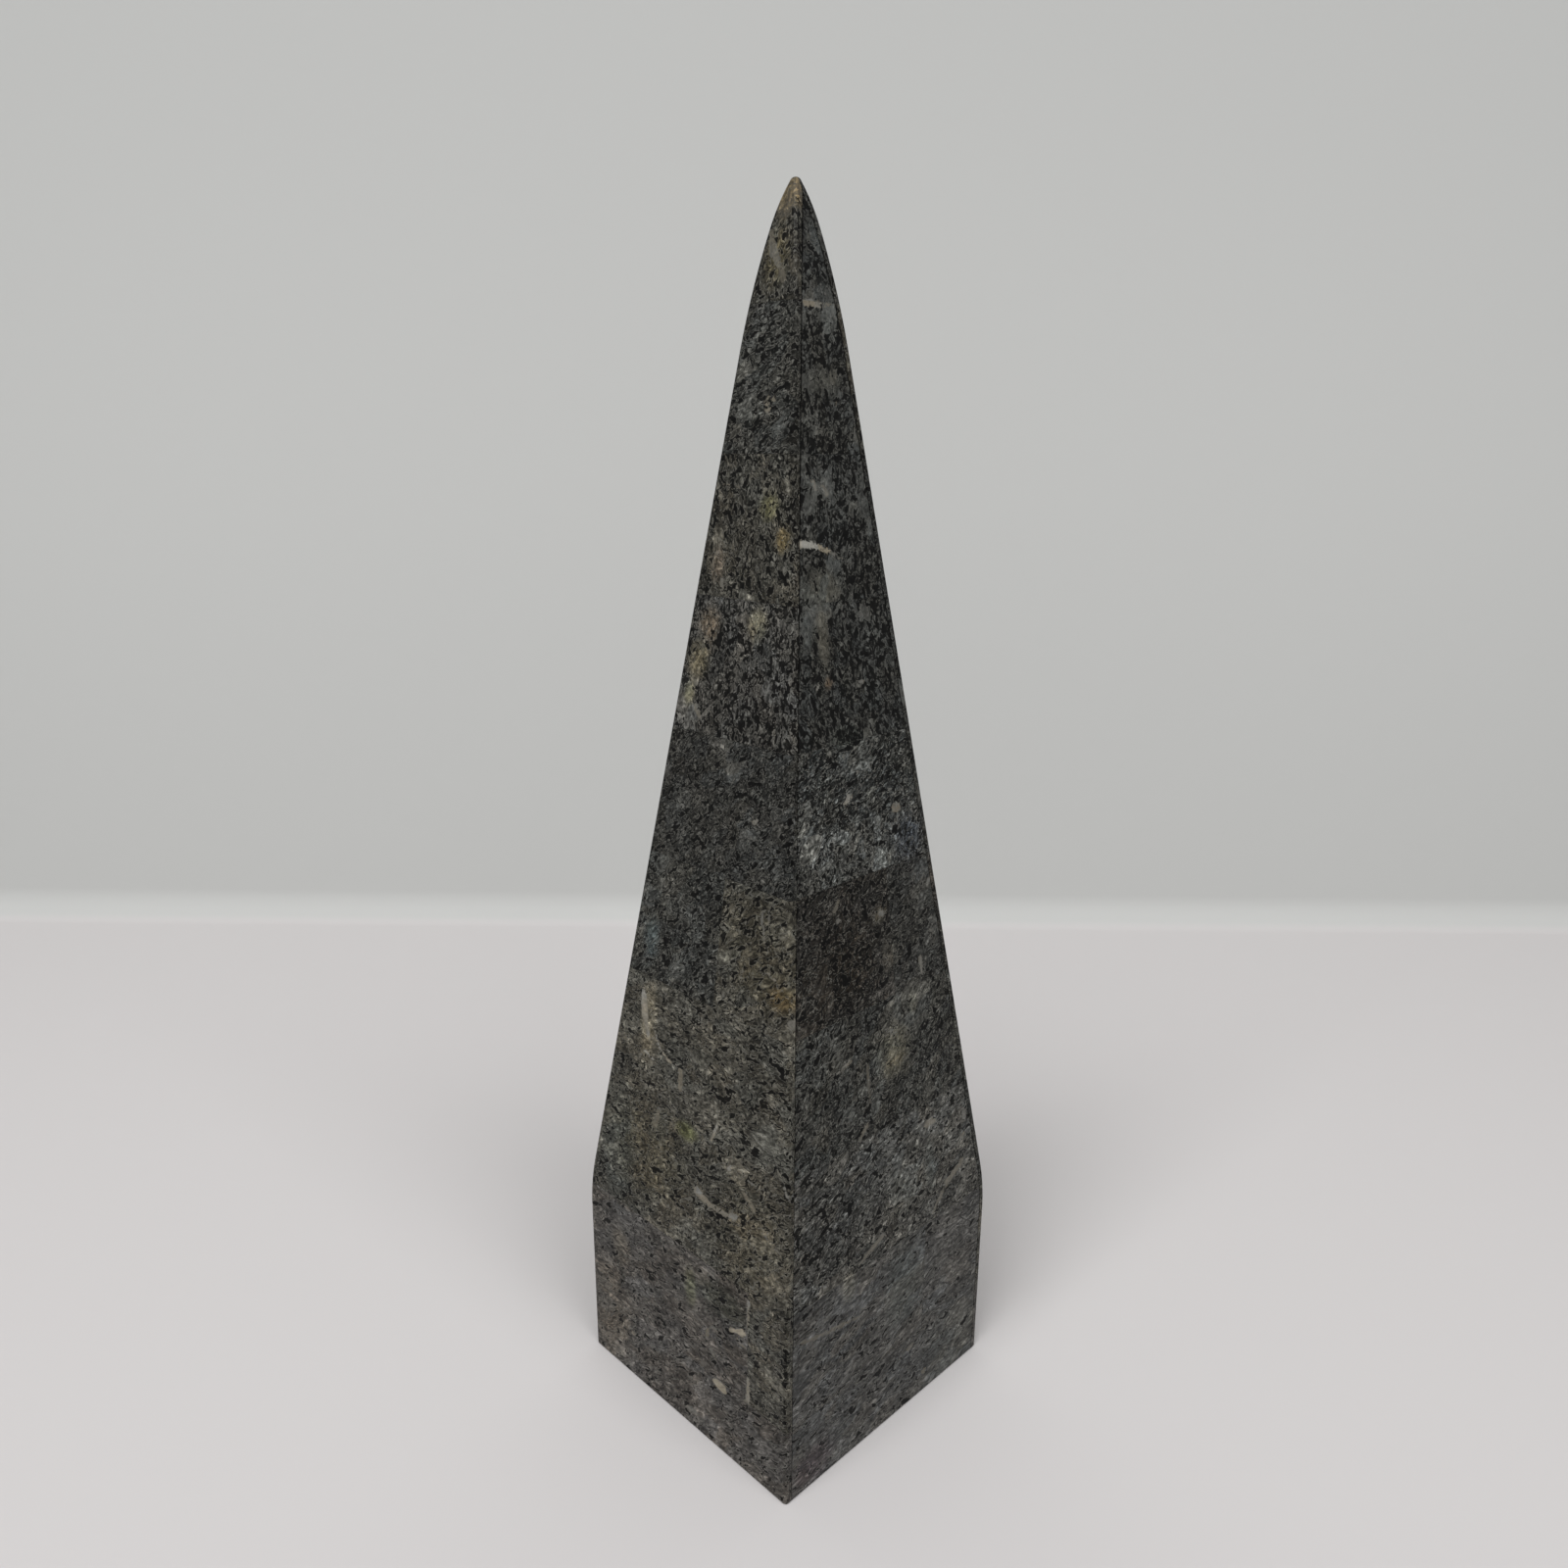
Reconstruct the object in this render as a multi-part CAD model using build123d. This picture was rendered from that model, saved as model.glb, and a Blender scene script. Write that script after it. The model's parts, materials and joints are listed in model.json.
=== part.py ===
from build123d import *
from math import acos, atan2, cos, degrees, hypot, radians, sin
import os

# A tabletop obelisk covered in thin stone tiles, in millimetres and degrees.
# The faces look along X and Y, Z is up, and the origin is the middle of the underside.

# Outline of a face, from the foot to the tip. A lean is the face's angle from upright.
foot_side = 101.0
height = 400.0
foot_height = 61.0
shoulder_radius = 138.0
bow_radius = 361.0
crown_radius = 80.0
tip_radius = 1.6
bow_lean = 13.35
crown_lean = 22.45

# Softened edges
arris_radius = 1.2
arris_facets = 3
foot_radius = 0.8

# Tiles, the joints between them, and the pad under the core
tile_thickness = 2.5
joint = 0.15
lap_joint = 0.3
lowest_course_height = 28.0
top_course_height = 34.0
course_count = 10
pad_thickness = 1.5
pad_clearance = 0.5

# Each face's turn about the upright axis, and the courses on it that are laid as two stones.
# An upright joint between two stones stands off the middle of the face by a share of the foot's
# side, and a level one lies at a share of its course's height.
faces = {
    "front": (0, {1: ("upright", 0.115), 2: ("upright", 0.325), 3: ("upright", 0.05), 5: ("upright", 0.045)}),
    "right": (90, {2: ("upright", 0.165), 4: ("upright", -0.055), 5: ("upright", 0.1), 6: ("level", 0.41)}),
    "back": (180, {1: ("upright", -0.14), 3: ("upright", 0.2), 6: ("upright", 0.04)}),
    "left": (270, {2: ("upright", -0.21), 3: ("upright", 0.095), 5: ("level", 0.6)}),
}


def on_arc(centre, radius, lean):
    """The point of a round curve where the face leans in by this angle."""
    return centre[0] + radius * cos(radians(lean)), centre[1] + radius * sin(radians(lean))


def face_curves(inset):
    """Shoulder, bow, crown and tip of a face moved in by a depth, as the ends and middle of each arc.

    Each arc is tangent to the next, and one straight taper is tangent to the shoulder and the bow.
    """
    shoulder = (foot_side / 2 - shoulder_radius, foot_height)
    tip = (0, height - tip_radius)
    crown = on_arc(tip, tip_radius - crown_radius, crown_lean)
    bow = on_arc(crown, crown_radius - bow_radius, bow_lean)
    across, up = bow[0] - shoulder[0], bow[1] - shoulder[1]
    taper_lean = degrees(atan2(up, across) - acos((shoulder_radius - bow_radius) / hypot(across, up)))
    arcs = [
        (shoulder, shoulder_radius, 0, taper_lean),
        (bow, bow_radius, taper_lean, bow_lean),
        (crown, crown_radius, bow_lean, crown_lean),
        (tip, tip_radius, crown_lean, 90),
    ]
    if inset >= tip_radius:
        ridge_lean = degrees(acos(-crown[0] / (crown_radius - inset)))
        arcs[2:] = [(crown, crown_radius, bow_lean, ridge_lean)]
    return [
        [on_arc(centre, radius - inset, lean) for lean in (low, (low + high) / 2, high)]
        for centre, radius, low, high in arcs
    ]


def prism(curves, turn):
    """A whole outline from the curves of its right half, carried straight through along a turned Y."""
    shoulder, *upper = [ThreePointArc(*curve) for curve in curves]
    half = [Line((curves[0][0][0], 0), shoulder @ 0), shoulder, Line(shoulder @ 1, upper[0] @ 0), *upper]
    end = curves[-1][-1]
    if end[0] > 1e-6:
        half += [Line(end, (end[0], height)), Line((end[0], height), (0, height))]
    foot = Line((-curves[0][0][0], 0), (curves[0][0][0], 0))
    outline = make_face(Wire(half + [edge.mirror(Plane.YZ) for edge in half] + [foot]))
    return Rot(0, 0, turn) * extrude(Plane.XZ * outline, amount=foot_side, both=True)


def make_body():
    """The finished outside form. Each arris is rounded by facets that touch the round from outside."""
    curves = face_curves(0)
    form = prism(curves, 0) & prism(curves, 90)
    for facet in range(1, arris_facets + 1):
        turn = 90 * facet / (arris_facets + 1)
        spread = cos(radians(turn)) + sin(radians(turn))
        rounding = [
            [(spread * (x - arris_radius) + arris_radius, z) for x, z in curve] for curve in curves[:-1]
        ]
        form = form & prism(rounding, turn) & prism(rounding, turn + 90)
    return fillet(form.edges().group_by(Axis.Z)[0], foot_radius)


def course_span(course):
    """Bottom and top of a course counted from the foot, with half a joint taken off each bed."""
    course_height = (height - lowest_course_height - top_course_height) / (course_count - 2)
    beds = [0] + [lowest_course_height + n * course_height for n in range(course_count - 1)] + [height]
    bottom = beds[course - 1] + joint / 2 if course > 1 else 0
    top = beds[course] - joint / 2 if course < course_count else height
    return bottom, top


def joint_slot(way, share, bottom, top):
    """A thin block the width of a joint, standing upright or lying level across a course."""
    if way == "upright":
        return Pos(share * foot_side, 0, (bottom + top) / 2) * Box(joint, 3 * foot_side, 2 * height)
    return Pos(0, 0, bottom + share * (top - bottom)) * Box(3 * foot_side, 3 * foot_side, joint)


def make_tiles(shell, turn, splits):
    """The tiles of one face, from the foot up, cut out of a shell around the core."""
    for course in range(1, course_count + 1):
        bottom, top = course_span(course)
        block = Pos(0, -(foot_side + joint) / 2, bottom) * Box(
            2 * foot_side, foot_side, top - bottom, align=(Align.CENTER, Align.CENTER, Align.MIN))
        if course in splits:
            block -= joint_slot(*splits[course], bottom, top)
        yield course, shell & (Rot(0, 0, turn) * block)


body = make_body()
back_to_front = prism(face_curves(tile_thickness), 90)
side_to_side = prism(face_curves(tile_thickness), 0)

# The front and back tiles run the full width and cover the edges of the tiles on the other faces.
lapping = body - back_to_front
fitted = (body & prism(face_curves(tile_thickness + lap_joint), 90)) - side_to_side

pad_side = foot_side - 2 * (tile_thickness + pad_clearance)
pad = Box(pad_side, pad_side, pad_thickness, align=(Align.CENTER, Align.CENTER, Align.MIN))
core = (back_to_front & side_to_side) - Box(2 * foot_side, 2 * foot_side, 2 * pad_thickness)

os.makedirs("parts", exist_ok=True)
export_step(core, "parts/core.step")
export_step(pad, "parts/base_pad.step")
for face, (turn, splits) in faces.items():
    for course, tile in make_tiles(lapping if turn % 180 == 0 else fitted, turn, splits):
        export_step(tile, f"parts/{face}_tile_{course:02d}.step")
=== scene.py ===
import json
from math import acos, atan2, cos, hypot, pi, radians, sin, sqrt

import bpy
import numpy as np
from mathutils import Matrix, Vector

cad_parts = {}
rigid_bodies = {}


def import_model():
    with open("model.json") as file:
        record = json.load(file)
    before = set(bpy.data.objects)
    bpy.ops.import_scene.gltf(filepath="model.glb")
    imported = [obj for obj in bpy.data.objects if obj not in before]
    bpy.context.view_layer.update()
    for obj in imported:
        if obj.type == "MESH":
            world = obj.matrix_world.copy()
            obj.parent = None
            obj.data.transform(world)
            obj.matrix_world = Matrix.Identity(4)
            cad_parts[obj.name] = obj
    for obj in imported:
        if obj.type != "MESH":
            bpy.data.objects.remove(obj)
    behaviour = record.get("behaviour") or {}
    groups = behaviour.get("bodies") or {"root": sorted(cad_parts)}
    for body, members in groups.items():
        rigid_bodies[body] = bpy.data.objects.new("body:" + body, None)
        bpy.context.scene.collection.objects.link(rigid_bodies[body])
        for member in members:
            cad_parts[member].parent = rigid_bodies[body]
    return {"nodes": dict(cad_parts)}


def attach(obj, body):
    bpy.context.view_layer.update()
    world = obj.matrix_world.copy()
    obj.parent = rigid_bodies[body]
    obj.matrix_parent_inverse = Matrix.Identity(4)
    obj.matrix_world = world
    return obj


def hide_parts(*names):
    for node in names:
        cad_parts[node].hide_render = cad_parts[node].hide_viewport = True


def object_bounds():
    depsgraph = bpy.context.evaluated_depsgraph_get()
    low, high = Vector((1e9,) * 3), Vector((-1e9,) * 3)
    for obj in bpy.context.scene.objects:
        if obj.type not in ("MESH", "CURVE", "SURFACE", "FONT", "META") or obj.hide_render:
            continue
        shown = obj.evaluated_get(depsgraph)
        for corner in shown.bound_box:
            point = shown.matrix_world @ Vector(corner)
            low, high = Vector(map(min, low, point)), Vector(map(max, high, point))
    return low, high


bl_info = {
    "name": "Fossil stone obelisk",
    "version": (1, 0, 0),
    "blender": (4, 5, 0),
    "location": "3D View > Sidebar > Obelisk",
    "description": "Lays polished fossil stone tiles on a tabletop obelisk and sets it on a pale stage",
    "category": "Add Mesh",
}

for leftover in list(bpy.data.objects):
    bpy.data.objects.remove(leftover)
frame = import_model()
cad_low, cad_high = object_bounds()

MM = 0.001

# The least gap left between two surfaces, and what counts as touching
HAIR = 0.01 * MM

# How finely the stones are meshed: the step across and up a face, the points round an arris and
# along the back, and the heights in the top course, on the rounding of the foot and up a joint
MESH_STEP = 1.2 * MM
ARRIS_POINTS = 7
BACK_POINTS = 3
TOP_HEIGHTS = 40
FOOT_HEIGHTS = 6
JOINT_HEIGHTS = 30

# The most that the rounding of an arris takes of half a stone's width near the tip, and that the
# line of painted joint shade along a fitted tile's end takes of the whole
ARRIS_SHARE = 0.8
JOINT_SHADE_SHARE = 0.3

# How far from the middle of the rock a stone may be cut, in millimetres, how much the lean of its
# grain may be off, in radians, and where the random draws start
CUT_SPREAD = 60
LEAN_SPREAD = 0.4
SEED = 11

# Distance in millimetres at which a point counts as away from all shells
FAR = 9.0

# The kinds of stone: ground colour, fineness of the grain, share of black grains, contrast of the
# grain, how far the grain is drawn out (1 is not at all, and less is more), and its lean from
# upright in degrees
STONES = {
    "black_pitted": ((0.057, 0.058, 0.054), 0.95, 0.69, 0.55, 0.75, 0),
    "smooth_pitted": ((0.046, 0.047, 0.044), 1.0, 0.63, 0.5, 0.75, 0),
    "grey_pitted": ((0.078, 0.076, 0.070), 1.0, 0.62, 0.80, 0.75, 0),
    "olive_pitted": ((0.066, 0.063, 0.053), 1.0, 0.54, 0.85, 0.75, 0),
    "fine_dark": ((0.042, 0.042, 0.039), 1.15, 0.50, 0.85, 0.65, 60),
    "fine_grey": ((0.054, 0.054, 0.049), 1.05, 0.53, 0.90, 0.65, 60),
    "light_band": ((0.082, 0.084, 0.079), 1.1, 0.52, 1.1, 0.7, 40),
    "flecked": ((0.054, 0.056, 0.053), 1.15, 0.58, 1.3, 0.6, 65),
    "brown_dark": ((0.033, 0.030, 0.026), 1.1, 0.58, 1.0, 0.7, 60),
    "grey_hash": ((0.080, 0.079, 0.073), 0.95, 0.42, 0.95, 0.6, 65),
    "olive_grey": ((0.076, 0.072, 0.060), 0.95, 0.40, 0.85, 0.6, 70),
    "soft_grey": ((0.078, 0.072, 0.066), 0.85, 0.30, 0.75, 0.5, 80),
    "cool_grey": ((0.073, 0.072, 0.069), 0.85, 0.30, 0.75, 0.5, 80),
}

# Patches of another tone, in millimetres across the face and up from its foot: middle,
# half width, half height, and how the red, green and blue, and then the black grains, are multiplied
PATCHES = {
    "front": [
        (-33, 52, 5, 7, (1.7, 1.6, 1.4), 0.3), (5, 57, 3, 7, (1.5, 1.6, 1.2), 0.3),
        (21, 60, 12, 6, (0.7, 0.78, 0.7), 1.2), (-36, 90, 9, 22, (0.85, 0.93, 1.0), 1.0),
        (-2, 110, 5, 3, (1.2, 1.3, 0.8), 0.5), (-26, 139, 4, 13, (1.9, 1.8, 1.6), 0.2),
        (-28, 168, 4, 8, (1.0, 1.2, 1.35), 0.3), (28, 169, 13, 7, (1.05, 1.0, 0.9), 0.9),
        (34, 167, 5, 4, (1.3, 1.1, 0.8), 0.6), (22, 180, 20, 17, (0.84, 0.83, 0.78), 1.1),
        (-17, 262, 5, 6, (1.7, 1.55, 1.15), 0.3), (-13, 273, 5, 5, (1.5, 1.25, 1.0), 0.5),
        (-20, 251, 2.4, 3.6, (1.9, 1.85, 1.4), 0.2), (8, 275, 4, 5, (1.9, 1.8, 1.4), 0.4),
        (-12, 291, 3, 5, (1.7, 1.5, 1.4), 0.3), (15, 300, 3, 4, (1.5, 1.25, 0.8), 0.4),
        (8, 309, 4, 4, (1.25, 1.25, 0.85), 0.6), (0, 378, 5, 8, (1.35, 1.25, 0.95), 0.5),
        (0, 398, 5, 8, (2.8, 2.1, 1.15), 0.1), (-40, 20, 12, 22, (1.25, 1.2, 1.1), 0.6),
        (30, 88, 16, 18, (1.12, 1.06, 0.95), 0.9), (-20, 95, 20, 16, (1.05, 1.0, 0.88), 0.9),
        (49.7, 40, 0.5, 34, (0.9, 0.9, 0.9), 1.8),
    ],
    "right": [
        (-38, 8, 9, 7, (1.05, 0.88, 0.92), 0.9), (36, 12, 16, 16, (1.15, 1.18, 1.15), 0.3),
        (6, 52, 10, 17, (1.0, 1.07, 1.06), 0.3), (-22, 67, 4, 5, (1.35, 1.3, 1.15), 0.4),
        (30, 48, 14, 16, (1.1, 1.1, 1.1), 0.4), (8, 88, 9, 8, (1.45, 1.45, 1.4), 0.6),
        (21, 90, 3, 9, (1.25, 1.35, 1.4), 0.3), (-28, 90, 18, 14, (0.85, 0.85, 0.85), 1.2),
        (7, 136, 8, 8, (1.75, 1.7, 1.5), 0.3), (8, 133, 5, 1.5, (1.1, 1.03, 0.92), 0.8),
        (18, 150, 2, 4, (1.7, 1.7, 1.6), 0.3), (8, 169, 3, 5, (1.7, 1.7, 1.6), 0.3),
        (5, 183, 3.4, 2.6, (2.0, 2.0, 1.8), 0.1), (-12, 170, 11, 12, (0.8, 0.74, 0.66), 1.2),
        (10, 201, 4, 3, (1.5, 1.5, 1.45), 0.2), (22, 204, 7, 8, (0.85, 0.9, 1.05), 1.0),
        (-10, 271, 2.4, 10, (1.35, 1.3, 1.2), 0.0), (-17, 273, 3, 6, (1.2, 1.25, 1.3), 0.1),
        (-3, 241, 7, 3.5, (0.8, 0.85, 0.8), 1.3), (-10, 286, 9, 5, (1.3, 1.28, 1.2), 0.1),
        (0, 344, 6, 4, (1.25, 1.22, 1.15), 0.2), (2, 384, 4, 5, (1.2, 1.2, 1.2), 0.5),
        (-9, 258, 2, 1.6, (1.7, 1.25, 0.95), 0.2), (-15, 289, 2, 1.3, (0.3, 0.3, 0.3), 1.0),
    ],
}

# Pieces of fossil shell, in millimetres: one end, the other end, half the thickness at
# each, and the brightness
SHELLS = {
    "front": [
        (17.6, 26.4, 20.6, 26.2, 1.6, 1.9, 0.9), (-28, 18, -26.5, 18.6, 0.7, 0.5, 0.7),
        (3.5, 6, 7, 7, 1.3, 0.9, 0.4), (33, 58, 33.2, 68, 0.4, 0.6, 0.7), (33, 29, 33, 38, 0.9, 0.5, 0.75),
        (25, 52, 31, 54.5, 0.6, 1.3, 0.95), (28, 50, 32, 49, 0.5, 0.3, 0.6),
        (13.5, 45, 13, 41, 0.8, 0.5, 0.5), (14, 39, 17, 36, 0.5, 0.6, 0.5),
        (15, 47, 21, 49, 0.3, 0.3, 0.45), (5.3, 92.4, 12, 90.6, 1.5, 0.8, 0.62),
        (12, 90.6, 24, 91.2, 0.8, 0.6, 0.62), (21, 92, 24.5, 92.4, 0.4, 0.9, 0.5),
        (25, 103, 32, 98, 0.5, 0.8, 0.5), (19, 106, 19.6, 107, 0.6, 0.6, 0.75),
        (28, 106, 36, 106, 0.3, 0.4, 0.5), (36, 93, 46, 89, 0.3, 0.3, 0.45),
        (-18, 106, -16, 113, 1.4, 0.6, 0.35), (9.6, 111, 12, 118, 0.3, 0.6, 0.85),
        (-22, 137, -18.5, 132, 0.4, 0.5, 0.8), (-18.5, 132, -13, 129.6, 0.5, 0.3, 0.9),
        (-13, 129.6, -8.5, 129.8, 0.3, 0.3, 0.8), (-7.6, 129, -7.2, 123, 0.9, 1.1, 0.5),
        (-26.5, 129, -22, 127.6, 0.6, 0.4, 0.9), (-29.5, 148, -28, 141, 1.3, 1.5, 0.8),
        (-28, 141, -25, 134, 1.2, 0.8, 0.6), (16, 152.4, 22.5, 152.8, 0.35, 0.35, 0.8),
        (27, 173.4, 31, 171.6, 0.3, 0.3, 0.7), (22, 190, 24, 183, 0.4, 0.5, 0.45),
        (25, 192, 26, 185, 0.3, 0.4, 0.4), (14.6, 216.6, 15.8, 217.8, 0.7, 0.5, 0.6),
        (-7, 236.6, -3.4, 237.2, 0.4, 0.4, 0.5), (-3, 237, -0.4, 236.2, 0.5, 0.5, 0.9),
        (-16.5, 247, -12, 242, 1.0, 0.4, 0.5), (-9.6, 287, -9.2, 283, 0.6, 0.5, 0.55),
        (-13, 314.6, -5.5, 314.2, 0.35, 0.2, 0.7), (1.5, 338, 4, 335.6, 0.6, 0.8, 0.65),
        (3, 339.6, 5.5, 338.6, 0.4, 0.4, 0.6), (0, 398, 0, 392.5, 2.5, 3.6, 0.12),
        (-4, 385.5, -2.6, 381, 0.8, 1.2, 0.3), (-2.2, 380.5, 1, 376, 1.6, 1.0, 0.36),
        (1.6, 375.5, 4.4, 371.6, 0.7, 1.0, 0.3), (38, 161, 40, 158, 0.6, 1.0, 0.5),
        (43, 112, 45, 108, 0.6, 0.5, 0.5), (30, 28, 34, 28, 0.2, 0.2, 0.3),
    ],
    "right": [
        (9.6, 23.4, 11.8, 24, 1.0, 0.6, 0.45), (18.6, 8.4, 20, 8.2, 1.0, 0.8, 0.5),
        (-47, 60, -38, 57, 0.4, 0.6, 0.45), (-38, 57, -27, 54.8, 0.6, 0.9, 0.4),
        (-27, 54.8, -14, 52, 0.8, 0.3, 0.4), (-17, 72.6, -5, 77, 0.5, 0.9, 0.45),
        (20.5, 72.6, 26, 77.6, 0.5, 0.8, 0.45), (29, 80.4, 38.5, 84.6, 1.3, 0.9, 0.45),
        (20, 105, 25, 105, 0.8, 0.9, 0.5), (21, 106, 24, 106.2, 0.7, 0.6, 0.45),
        (41, 99, 41, 101.6, 0.8, 0.9, 0.5), (36, 91, 40, 94, 0.5, 0.8, 0.45),
        (-43.2, 84, -42.6, 84.4, 0.5, 0.4, 0.8), (-33.6, 73.2, -32.4, 71.8, 0.5, 0.4, 0.75),
        (-20, 138.4, -13.6, 140.6, 0.3, 0.6, 0.6), (-13, 112.6, -8.4, 117, 0.4, 0.8, 0.45),
        (-6.2, 124, -6, 136, 0.5, 0.5, 0.3), (4, 144.6, 9, 142.4, 0.6, 0.5, 0.5),
        (24, 158, 23.6, 163, 0.6, 0.9, 0.5), (30, 186.6, 31, 188, 0.8, 0.6, 0.5),
        (-15, 189, -13, 192, 0.8, 0.5, 0.4), (-14, 186, -12.4, 185.2, 0.7, 0.5, 0.5),
        (-5.6, 221, -4.6, 223.6, 0.6, 0.3, 0.8), (-7, 220.6, -3.4, 222.6, 0.4, 0.4, 0.8),
        (16.4, 215, 17.8, 215, 1.5, 1.4, 0.55), (-16.6, 299, -10, 298, 1.0, 0.9, 1.0),
        (-10, 298, -4, 296, 0.8, 0.5, 0.9), (-4, 296, 1.5, 293.4, 0.5, 0.2, 0.5),
        (-14.2, 256.4, -13.6, 258.6, 0.4, 0.4, 0.8), (5, 257, 6, 256.6, 0.7, 0.5, 0.5),
        (7, 285, 7.4, 288, 0.4, 0.5, 0.4), (-5.6, 365.4, 1, 365.2, 1.0, 0.6, 0.7),
        (1, 365.2, 8, 365.6, 0.5, 0.2, 0.6), (0, 338, 3.6, 338.2, 0.3, 0.3, 0.5),
        (-8.8, 316, -8, 314, 0.7, 0.5, 0.6), (-5, 314.6, -3.4, 312.6, 0.6, 0.8, 0.5),
        (5.5, 183.6, 7, 182.6, 1.0, 0.8, 0.45),
    ],
}

# Each face: its turn about the upright axis, the courses laid as two stones, and the stones from
# the foot up. A joint between two stones is upright, at a share of the foot's side from the middle,
# or level, at a share of the course's height, and the left or lower of the two stones comes first.
FACES = {
    "front": (
        0, {1: ("upright", 0.115), 2: ("upright", 0.325), 3: ("upright", 0.05), 5: ("upright", 0.045)},
        [("soft_grey", "soft_grey"), ("soft_grey", "olive_grey"), ("olive_grey", "olive_grey"),
         ("olive_grey",), ("fine_grey", "olive_grey"), ("fine_dark",), ("grey_pitted",),
         ("olive_pitted",), ("fine_grey",), ("olive_pitted",)]),
    "right": (
        90, {2: ("upright", 0.165), 4: ("upright", -0.055), 5: ("upright", 0.1), 6: ("level", 0.41)},
        [("cool_grey",), ("cool_grey", "cool_grey"), ("grey_hash",), ("fine_grey", "fine_grey"),
         ("brown_dark", "fine_dark"), ("light_band", "flecked"), ("black_pitted",),
         ("black_pitted",), ("black_pitted",), ("smooth_pitted",)]),
    "back": (
        180, {1: ("upright", -0.14), 3: ("upright", 0.2), 6: ("upright", 0.04)},
        [("soft_grey", "cool_grey"), ("olive_grey",), ("fine_grey", "olive_grey"), ("fine_grey",),
         ("brown_dark",), ("fine_dark", "fine_grey"), ("black_pitted",), ("fine_dark",),
         ("olive_pitted",), ("fine_grey",)]),
    "left": (
        270, {2: ("upright", -0.21), 3: ("upright", 0.095), 5: ("level", 0.6)},
        [("cool_grey",), ("soft_grey", "olive_grey"), ("cool_grey", "fine_grey"), ("olive_grey",),
         ("fine_dark", "light_band"), ("fine_grey",), ("black_pitted",), ("fine_grey",),
         ("black_pitted",), ("olive_pitted",)]),
}


def a_length(name, description, default):
    """A size in metres."""
    return bpy.props.FloatProperty(name=name, description=description, default=default, unit="LENGTH")


def an_angle(name, description, degrees):
    """An angle, given in degrees and kept in radians."""
    return bpy.props.FloatProperty(
        name=name, description=description, default=radians(degrees), subtype="ANGLE")


def a_colour(name, description, default):
    """A colour, as red, green and blue."""
    return bpy.props.FloatVectorProperty(
        name=name, description=description, default=default, subtype="COLOR", size=3, min=0, max=1)


def a_share(name, description, default):
    """A number from 0 to 1."""
    return bpy.props.FloatProperty(
        name=name, description=description, default=default, min=0, max=1, subtype="FACTOR")


def a_power(name, description, default):
    """The power of a lamp."""
    return bpy.props.FloatProperty(name=name, description=description, default=default, min=0, unit="POWER")


class ObeliskForm(bpy.types.PropertyGroup):
    """Sizes of the obelisk and its tiles."""

    foot_side: a_length("Foot side", "Side of the square foot", cad_high.x - cad_low.x)
    height: a_length("Height", "Height of the tip above the underside", cad_high.z - cad_low.z)
    foot_height: a_length("Foot height", "Height at which the faces start to lean in", 61 * MM)
    shoulder_radius: a_length("Shoulder radius", "Radius of the curve above the foot", 138 * MM)
    bow_radius: a_length("Bow radius", "Radius of the curve above the straight taper", 361 * MM)
    crown_radius: a_length("Crown radius", "Radius of the curve below the tip", 80 * MM)
    tip_radius: a_length("Tip radius", "Radius of the rounded tip", 1.6 * MM)
    bow_lean: an_angle("Bow lean", "Lean of a face where the bow ends", 13.35)
    crown_lean: an_angle("Crown lean", "Lean of a face where the tip begins", 22.45)
    arris_radius: a_length("Arris radius", "Rounding of the edges between faces", 1.2 * MM)
    foot_radius: a_length("Foot edge radius", "Rounding of the lowest edges", 0.8 * MM)
    tile_thickness: a_length("Tile thickness", "Thickness of the stone tiles", 2.5 * MM)
    joint: a_length("Joint", "Width of the joints on a face", 0.15 * MM)
    lap_joint: a_length("Lap joint", "Width of the joints beside an arris", 0.3 * MM)
    joint_depth: a_length("Joint depth", "How far the joints' filling lies under the surface", 0.04 * MM)
    # The dark line along a fitted tile's ends is painted shade of the lap joint beside it
    joint_shade_width: a_length("Grime width", "Width of the dark line along a fitted tile's ends", 0.45 * MM)
    joint_shade_foot: a_length("Grime foot", "Height above which the line is fully dark", 260 * MM)
    joint_shade_fade: a_length("Grime fade", "Height over which the line fades out below its foot", 80 * MM)
    # The dark band along an arris, between two heights, is painted shade that dulls the highlight of the
    # rounded arris
    arris_shade_width: a_length("Stain width", "Width of the dark stain along an arris", 1.6 * MM)
    arris_shade_low: a_length("Stain foot", "Height at which the dark stain along an arris starts", 298 * MM)
    arris_shade_high: a_length("Stain top", "Height at which the dark stain along an arris ends", 388 * MM)
    arris_shade_fade: a_length("Stain fade", "Height over which the stain comes in and goes out", 8 * MM)
    lowest_course_height: a_length("Lowest course", "Height of the lowest course", 28 * MM)
    top_course_height: a_length("Top course", "Height of the top course", 34 * MM)
    course_count: bpy.props.IntProperty(name="Courses", description="Courses of tiles", default=10, min=3)


class ObeliskFinish(bpy.types.PropertyGroup):
    """Polish and colours that all the stones share."""

    grain_black: a_colour("Grain", "Colour of the black grains", (0.002, 0.002, 0.002))
    fleck_pale: a_colour("Fleck", "Colour of the pale flecks", (0.23, 0.225, 0.2))
    shell_cream: a_colour("Cream shell", "Colour of the cream pieces of fossil shell", (0.42, 0.37, 0.28))
    shell_white: a_colour("White shell", "Colour of the white pieces of fossil shell", (0.44, 0.44, 0.41))
    polish: a_share("Roughness", "Roughness of the polished stone", 0.25)
    gloss: a_share("Gloss", "Strength of the polish's reflections", 0.05)
    # Strength of the painted shade of the lap joints, along the fitted tiles' ends
    painted_shade: a_share("Joint shade", "Strength of the dark line along the fitted tiles' ends", 0.8)
    # Strength of the painted shade along the arrises
    arris_shade: a_share("Arris shade", "Strength of the dark stain along the arrises", 0.45)


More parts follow.
